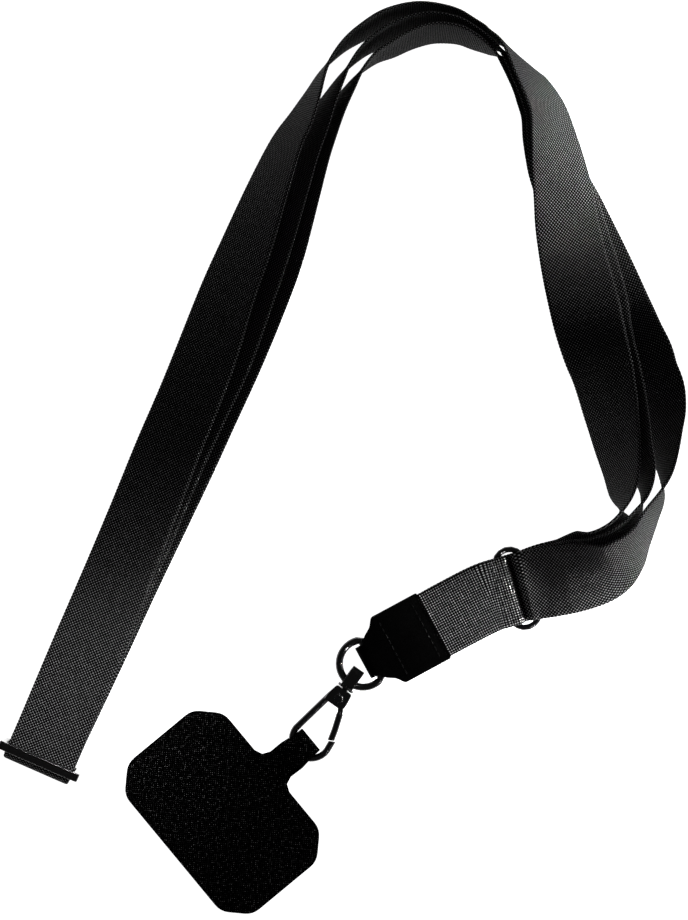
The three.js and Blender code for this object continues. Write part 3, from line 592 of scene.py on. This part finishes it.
# %% [markdown]
# ## Leather tab
#
# The tab is one piece of smooth black leather, folded round the D-ring's straight bar and sewn
# through. Its grain is a net of tiny creases between pores, which a Voronoi pattern's distance to its
# cell edges draws well. A slower noise gives the mottling of the dye. Both are faint, and only show
# where light skims over the leather.

# %% Leather tab
PORE_SCALE, PORE_EDGE, PORE_DEPTH = 1500.0, 0.15, 4.0
MOTTLE_SCALE, MOTTLE_DEPTH = 220.0, 0.6

leather = Finish("black_leather", specular_ior_level=0.01)
where = leather.solid_place()
pores = leather.add("TexVoronoi", {"feature": "DISTANCE_TO_EDGE"}, Vector=where, Scale=PORE_SCALE)
mottle = leather.add("TexNoise", Vector=where, Scale=MOTTLE_SCALE, Detail=4.0)
leather.feed("Base Color", leather.between((0.0002, 0.0002, 0.0002), (0.0012, 0.0012, 0.0012), mottle))
leather.feed("Roughness", 0.42 + mottle * 0.25)
leather.relief(pores.below(PORE_EDGE) * PORE_DEPTH + mottle * MOTTLE_DEPTH, 0.05 * MM)

tab = soft_edged("tab_leather", "leather_tab", 0.28 * MM)
tab.data.materials.append(leather.material)
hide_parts("leather_tab")
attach(tab, "root")

# %% [markdown]
# ## Stitches
#
# Two rows of black thread hold the tab's two plies and the webbing between them, and two more close
# the short loop round the ring. A stitch is a short length of round thread pulled into the surface
# at both ends. A flattened, stretched sphere has just that shape, and all of a row's beads are one
# mesh. Black thread on black leather shows only by its gloss and by being a shade paler.

# %% Rows of stitches
STITCH_THICK = 0.42 * MM
STITCH_LENGTH = 0.8
STITCH_HEIGHT = 0.7

thread = Finish("black_thread", roughness=0.38, specular_ior_level=0.05)
fuzz = thread.add("TexNoise", Vector=thread.solid_place(), Scale=4000.0, Detail=1.0)
thread.feed("Base Color", thread.between((0.0010, 0.0010, 0.0010), (0.012, 0.012, 0.012), fuzz))


def stitch_rows(name, rows, body):
    """Rows of stitches in one mesh. A row is its start, its end, its outward direction and a count."""
    mesh = bmesh.new()
    for start, end, outward, count in rows:
        run = (end - start) / count
        along = run.normalized()
        across = outward.cross(along).normalized()
        for i in range(count):
            bead = bmesh.ops.create_uvsphere(mesh, u_segments=10, v_segments=6, radius=0.5)["verts"]
            middle = start + run * (i + 0.5)
            for vert in bead:
                x, y, z = vert.co
                vert.co = (middle + along * x * run.length * STITCH_LENGTH
                           + across * y * STITCH_THICK + outward * z * STITCH_THICK * STITCH_HEIGHT)
    data = bpy.data.meshes.new(name)
    mesh.to_mesh(data)
    mesh.free()
    data.shade_smooth()
    data.materials.append(thread.material)
    piece = new_object(name, data)
    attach(piece, body)
    print(name, "has", sum(row[3] for row in rows), "stitches")
    return piece


print("a stitch is", STITCH_THICK / MM, "mm thick")

# %% [markdown]
# ## The tab's two rows
#
# The tab lies turned on the table, so its rows are placed along its own two directions, counted from
# its fold at the D-ring. Each row is sewn through, and so it shows on top and underneath.

# %% Stitches of the leather tab
TAB_FOLD = Vector((7.63, -71.67, 0.0)) * MM
TAB_TURN = math.radians(28.4)
TAB_ALONG = Vector((math.cos(TAB_TURN), math.sin(TAB_TURN), 0))
TAB_ACROSS = Vector((-math.sin(TAB_TURN), math.cos(TAB_TURN), 0))
UP = Vector((0, 0, 1))
TAB_ROW_PLACES = [12.0 * MM, 25.2 * MM]
TAB_ROW_HALF = 10.8 * MM
TAB_ROW_COUNT = 9
UNDERSIDE = 0.1 * MM

tab_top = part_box("leather_tab")[1][2]
tab_rows = []
for height, outward in ((tab_top, UP), (UNDERSIDE, -UP)):
    for place in TAB_ROW_PLACES:
        middle = TAB_FOLD + TAB_ALONG * place + UP * height
        reach = TAB_ACROSS * TAB_ROW_HALF
        tab_rows.append((middle - reach, middle + reach, outward, TAB_ROW_COUNT))
stitch_rows("tab_stitches", tab_rows, "root")

# %% [markdown]
# ## The short loop's seam
#
# The seam sits just before the oval ring. Its place on the table is known, so the distance along the
# loop that comes closest to it is looked for, and the rows are laid on the webbing at that distance.

# %% Stitches of the short loop
LOOP_SEAM = Vector((57.4, -47.4, 6.8)) * MM
SEAM_TRIES = 400
LOOP_ROW_SHIFT = 1.1 * MM
LOOP_ROW_SHARE = 0.47
LOOP_ROW_COUNT = 11

seam_run = min(np.linspace(0, loop.length * 0.5, SEAM_TRIES),
               key=lambda s: (Vector(loop.at(np.array([s]))[0][0]) - LOOP_SEAM).length)
seam_rows = []
for shift in (-LOOP_ROW_SHIFT, LOOP_ROW_SHIFT):
    centre, across, upward = (Vector(v[0]) for v in loop.at(np.array([seam_run + shift])))
    outward = upward if upward.z > 0 else -upward
    lifted = centre + outward * WEB_THICK * 0.5
    reach = across * WEB_WIDTH * LOOP_ROW_SHARE
    seam_rows.append((lifted - reach, lifted + reach, outward, LOOP_ROW_COUNT))
stitch_rows("loop_stitches", seam_rows, "root")
print("the seam is", round(seam_run / MM, 1), "mm along the loop")

# %% [markdown]
# ## Phone patch
#
# The patch is a thin, stiff tab of coated cloth. Phone cases clamp it behind the phone, so it is cut
# flat with broad cropped corners, and its neck loops over the clasp's bow. Its weave is finer and
# deader than the strap's: mostly black, with faint pinpoints that are painted glints. The same woven
# finish paints them when the noise is raised to a high power, so that it picks out only a few pips for
# the painted highlight. The patch is flat, so its map is simply the place on the table, turned to the
# patch's own direction.

# %% Phone patch
PATCH_TURN = math.radians(39.6)
PATCH_REPEAT = 1.0 * MM

# The pale pinpoints are painted glints: the pip colour is a painted highlight on the few pips that the
# noise picks out.
patch_finish = woven("patch_cloth", (0.0004, 0.0004, 0.0004), (0.22, 0.22, 0.222), 0.50, 1.5,
                     pick=(0.0, 1.60, 8), depth=0.06 * MM, shine=(0.95, 0.7), specular=0.0)
patch = soft_edged("patch_cloth", "phone_patch", 0.2 * MM, 2)
for corner, place in zip(patch.data.loops, patch.data.uv_layers.new(name="cloth").data):
    x, y, _ = patch.data.vertices[corner.vertex_index].co
    place.uv = ((x * math.cos(PATCH_TURN) + y * math.sin(PATCH_TURN)) / PATCH_REPEAT,
                (y * math.cos(PATCH_TURN) - x * math.sin(PATCH_TURN)) / PATCH_REPEAT)
patch.data.materials.append(patch_finish.material)
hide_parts("phone_patch")
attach(patch, "hook")

# %% [markdown] ## White table  The table is plain white and glows a little by itself, so no shadow
# shows on it, as in a picture cut out on white. It lies a hair below the strap, so the two never
# share a plane.

# %% Table
TABLE_HALF = 3.0
TABLE_GAP = 0.05 * MM
TABLE_GLOW = 1.1

table_mesh = bmesh.new()
bmesh.ops.create_grid(table_mesh, x_segments=1, y_segments=1, size=TABLE_HALF)
table_data = bpy.data.meshes.new("table")
table_mesh.to_mesh(table_data)
table_mesh.free()
table_finish = Finish("white_table", base_color=(0.9, 0.9, 0.9, 1), roughness=0.9,
                      emission_color=(1, 1, 1, 1), emission_strength=TABLE_GLOW)
table_data.materials.append(table_finish.material)
table = new_object("table", table_data)
table.location.z = cad_box[0][2] - TABLE_GAP
print("table", round(table.location.z / MM, 2), "mm up,", 2 * TABLE_HALF, "m wide")

# %% [markdown]
# ## Light for black cloth
#
# Black cloth shows only the light that skims it. A large soft light stands low on the right, so
# faces that lean that way turn grey and show their weave, and faces that lie flat or lean left stay
# black. One lamp alone would light the whole right side alike, while the real strap is palest at a
# few places. Four narrow beams lift those: below the top bend, at the fold, beside the slider and by
# the oval ring. `spread` keeps a beam narrow, so it leaves the black stretches next to it alone.

# %% Lights
# Each light: its place, the place that it faces, its size, its beam's spread in degrees, its power
LIGHTS = {
    "right_light": ((0.95, 0.20, 0.20), (0.08, 0.02, 0.0), (0.5, 0.25), 120, 3.0),
    "top_light": ((0.80, 0.38, 0.18), (0.076, 0.106, 0.0), (0.04, 0.04), 5, 0.034),
    "fold_light": ((0.80, -0.12, 0.18), (0.080, -0.052, 0.0), (0.05, 0.05), 7, 0.045),
    "slider_light": ((0.02, 0.06, 0.42), (-0.105, -0.100, 0.0), (0.08, 0.08), 20, 0.036),
    "ring_light": ((0.28, -0.34, 0.30), (0.055, -0.06, 0.0), (0.06, 0.06), 16, 0.016),
}
SKY_STRENGTH = 0.04

for name, (place, aim, size, spread, power) in LIGHTS.items():
    lamp = bpy.data.lights.new(name, "AREA")
    lamp.shape = "RECTANGLE"
    lamp.size, lamp.size_y = size
    lamp.spread = math.radians(spread)
    lamp.energy = power
    light = new_object(name, lamp)
    light.location = place
    light.rotation_euler = (Vector(aim) - Vector(place)).to_track_quat("-Z", "Y").to_euler()
    print(name, "faces", aim, "from", round((Vector(aim) - Vector(place)).length, 2), "m")

world = bpy.data.worlds.new("studio")
world.use_nodes = True
sky = world.node_tree.nodes["Background"]
sky.inputs["Color"].default_value = (1, 1, 1, 1)
sky.inputs["Strength"].default_value = SKY_STRENGTH
bpy.context.scene.world = world
bpy.context.scene.view_settings.view_transform = "Standard"

# %% [markdown]
